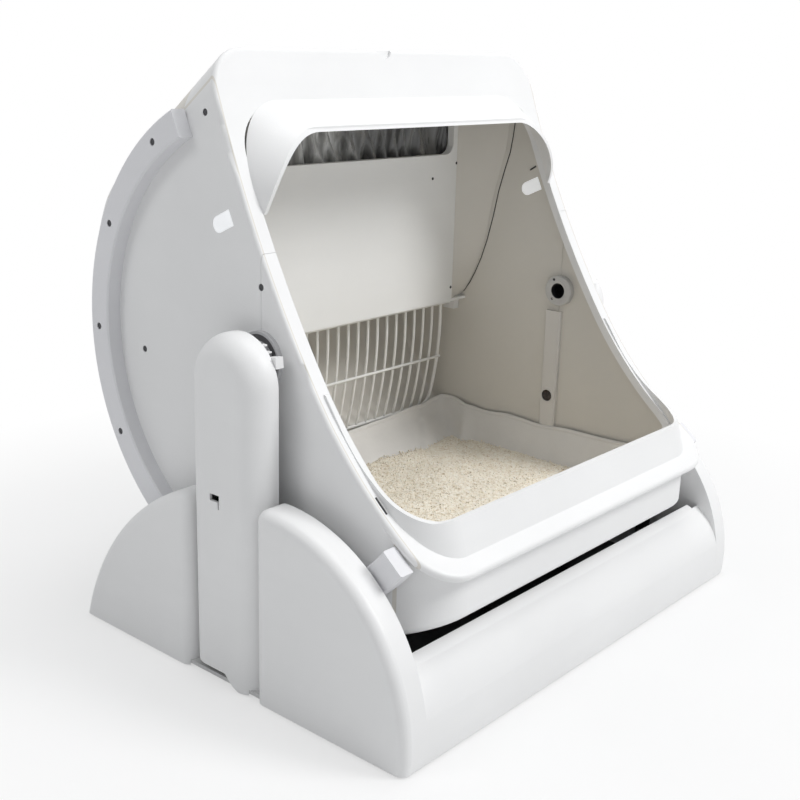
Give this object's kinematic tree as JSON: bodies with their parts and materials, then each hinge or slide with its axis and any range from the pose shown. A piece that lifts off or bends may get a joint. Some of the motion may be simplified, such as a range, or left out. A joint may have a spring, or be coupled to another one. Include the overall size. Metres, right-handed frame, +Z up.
{
  "type": "self-cleaning litter box",
  "caption": "Open-front self-cleaning cat litter box: a rotating drum with sieve grille, soft liner and waste bag between two support towers on a low base.",
  "frame": {"origin": "centre of the bounding box on the floor", "axes": "+Z up, -Y towards the open front, +X to the right seen from the front"},
  "size_m": [0.6, 0.4969, 0.5998],
  "materials": {
    "white_shell": "fine satin moulded surface",
    "grey_rail": "satin moulded surface",
    "panel_grey": "satin moulded surface, faintly warm",
    "inner_grey": "satin",
    "dark_plastic": "fine grain",
    "screw_steel": "plain",
    "coated_wire": "thick white coating",
    "black_rubber": "matt",
    "roller_plastic": "smooth",
    "gear_plastic": "smooth natural",
    "board_green": "lacquered board",
    "bag_film": "thin crinkled film",
    "liner_fabric": "thick soft woven sheet",
    "litter_grains": "small rounded grains",
    "window_pane": "clear milky pane",
    "lens_dark": "dark smoked"
  },
  "bodies": {
    "base": {"base_tray": "dark_plastic", "front_cover": "white_shell", "rear_cover": "white_shell", "left_tower_cover": "white_shell", "right_tower_cover": "white_shell", "left_tower_frame": "white_shell", "right_tower_frame": "white_shell", "left_hub_bearing": "dark_plastic", "right_hub_bearing": "dark_plastic", "drive_motor": "dark_plastic", "control_board": "board_green", "power_inlet": "dark_plastic", "rubber_feet": "black_rubber", "base_screws": "screw_steel", "tower_screws": "screw_steel", "roller_brackets": "dark_plastic", "roller_pins": "screw_steel"},
    "drum": {"drum_front_shell": "white_shell", "drum_rear_shell": "white_shell", "entry_hood": "white_shell", "splash_collar": "white_shell", "rear_panel": "panel_grey", "panel_wings": "panel_grey", "bag_frame": "panel_grey", "waste_bag": "bag_film", "lid_hinge_pin": "screw_steel", "grille_clips": "white_shell", "liner": "liner_fabric", "litter": "litter_grains", "left_rail": "grey_rail", "right_rail": "grey_rail", "rail_screws": "screw_steel", "shell_screws": "screw_steel", "side_windows": "window_pane", "left_hub": "dark_plastic", "right_hub": "dark_plastic", "left_hub_boss": "inner_grey", "right_hub_boss": "inner_grey", "hub_screws": "screw_steel", "duct_cover": "inner_grey", "sensor_lens": "lens_dark", "drum_gear": "gear_plastic"},
    "lid": {"waste_lid": "white_shell"},
    "grille": {"grille_frame": "coated_wire", "grille_hinge_rod": "coated_wire", "grille_cross_rod": "coated_wire", "grille_bars": "coated_wire"},
    "pinion": {"drive_pinion": "gear_plastic"},
    "latch_left": {"left_axle_latch": "white_shell"},
    "latch_right": {"right_axle_latch": "white_shell"},
    "left_front_roller_body": {"left_front_roller": "roller_plastic"},
    "left_rear_roller_body": {"left_rear_roller": "roller_plastic"},
    "right_front_roller_body": {"right_front_roller": "roller_plastic"},
    "right_rear_roller_body": {"right_rear_roller": "roller_plastic"}
  },
  "joints": [
    {"name": "drum_turn", "type": "hinge", "parent": "base", "child": "drum", "pos_m": [0, -0.0205, 0.3225], "axis": [1, 0, 0], "range_deg": [-140, 0]},
    {"name": "lid_swing", "type": "hinge", "parent": "drum", "child": "lid", "pos_m": [0, 0.24202, 0.3594], "axis": [-1, 0, 0], "range_deg": [0, 75]},
    {"name": "grille_swing", "type": "hinge", "parent": "drum", "child": "grille", "pos_m": [0, 0.1475, 0.284], "axis": [-1, 0, 0], "range_deg": [0, 70]},
    {"name": "pinion_spin", "type": "hinge", "parent": "base", "child": "pinion", "pos_m": [0.277, -0.0205, 0.2925], "axis": [1, 0, 0], "continuous": true},
    {"name": "latch_left_slide", "type": "slide", "parent": "base", "child": "latch_left", "axis": [0, -1, 0], "range_m": [0, 0.006]},
    {"name": "latch_right_slide", "type": "slide", "parent": "base", "child": "latch_right", "axis": [0, -1, 0], "range_m": [0, 0.006]},
    {"name": "left_front_roller_spin", "type": "hinge", "parent": "base", "child": "left_front_roller_body", "pos_m": [-0.2585, -0.14915, 0.09967], "axis": [1, 0, 0], "continuous": true},
    {"name": "left_rear_roller_spin", "type": "hinge", "parent": "base", "child": "left_rear_roller_body", "pos_m": [-0.2585, 0.02418, 0.06911], "axis": [1, 0, 0], "continuous": true},
    {"name": "right_front_roller_spin", "type": "hinge", "parent": "base", "child": "right_front_roller_body", "pos_m": [0.2585, -0.14915, 0.09967], "axis": [1, 0, 0], "continuous": true},
    {"name": "right_rear_roller_spin", "type": "hinge", "parent": "base", "child": "right_rear_roller_body", "pos_m": [0.2585, 0.02418, 0.06911], "axis": [1, 0, 0], "continuous": true}
  ],
  "couplings": [
    {"joint": "pinion_spin", "follows": "drum_turn", "ratio": -2.4286},
    {"joint": "left_front_roller_spin", "follows": "drum_turn", "ratio": -20.417},
    {"joint": "left_rear_roller_spin", "follows": "drum_turn", "ratio": -20.417},
    {"joint": "right_front_roller_spin", "follows": "drum_turn", "ratio": -20.417},
    {"joint": "right_rear_roller_spin", "follows": "drum_turn", "ratio": -20.417}
  ]
}
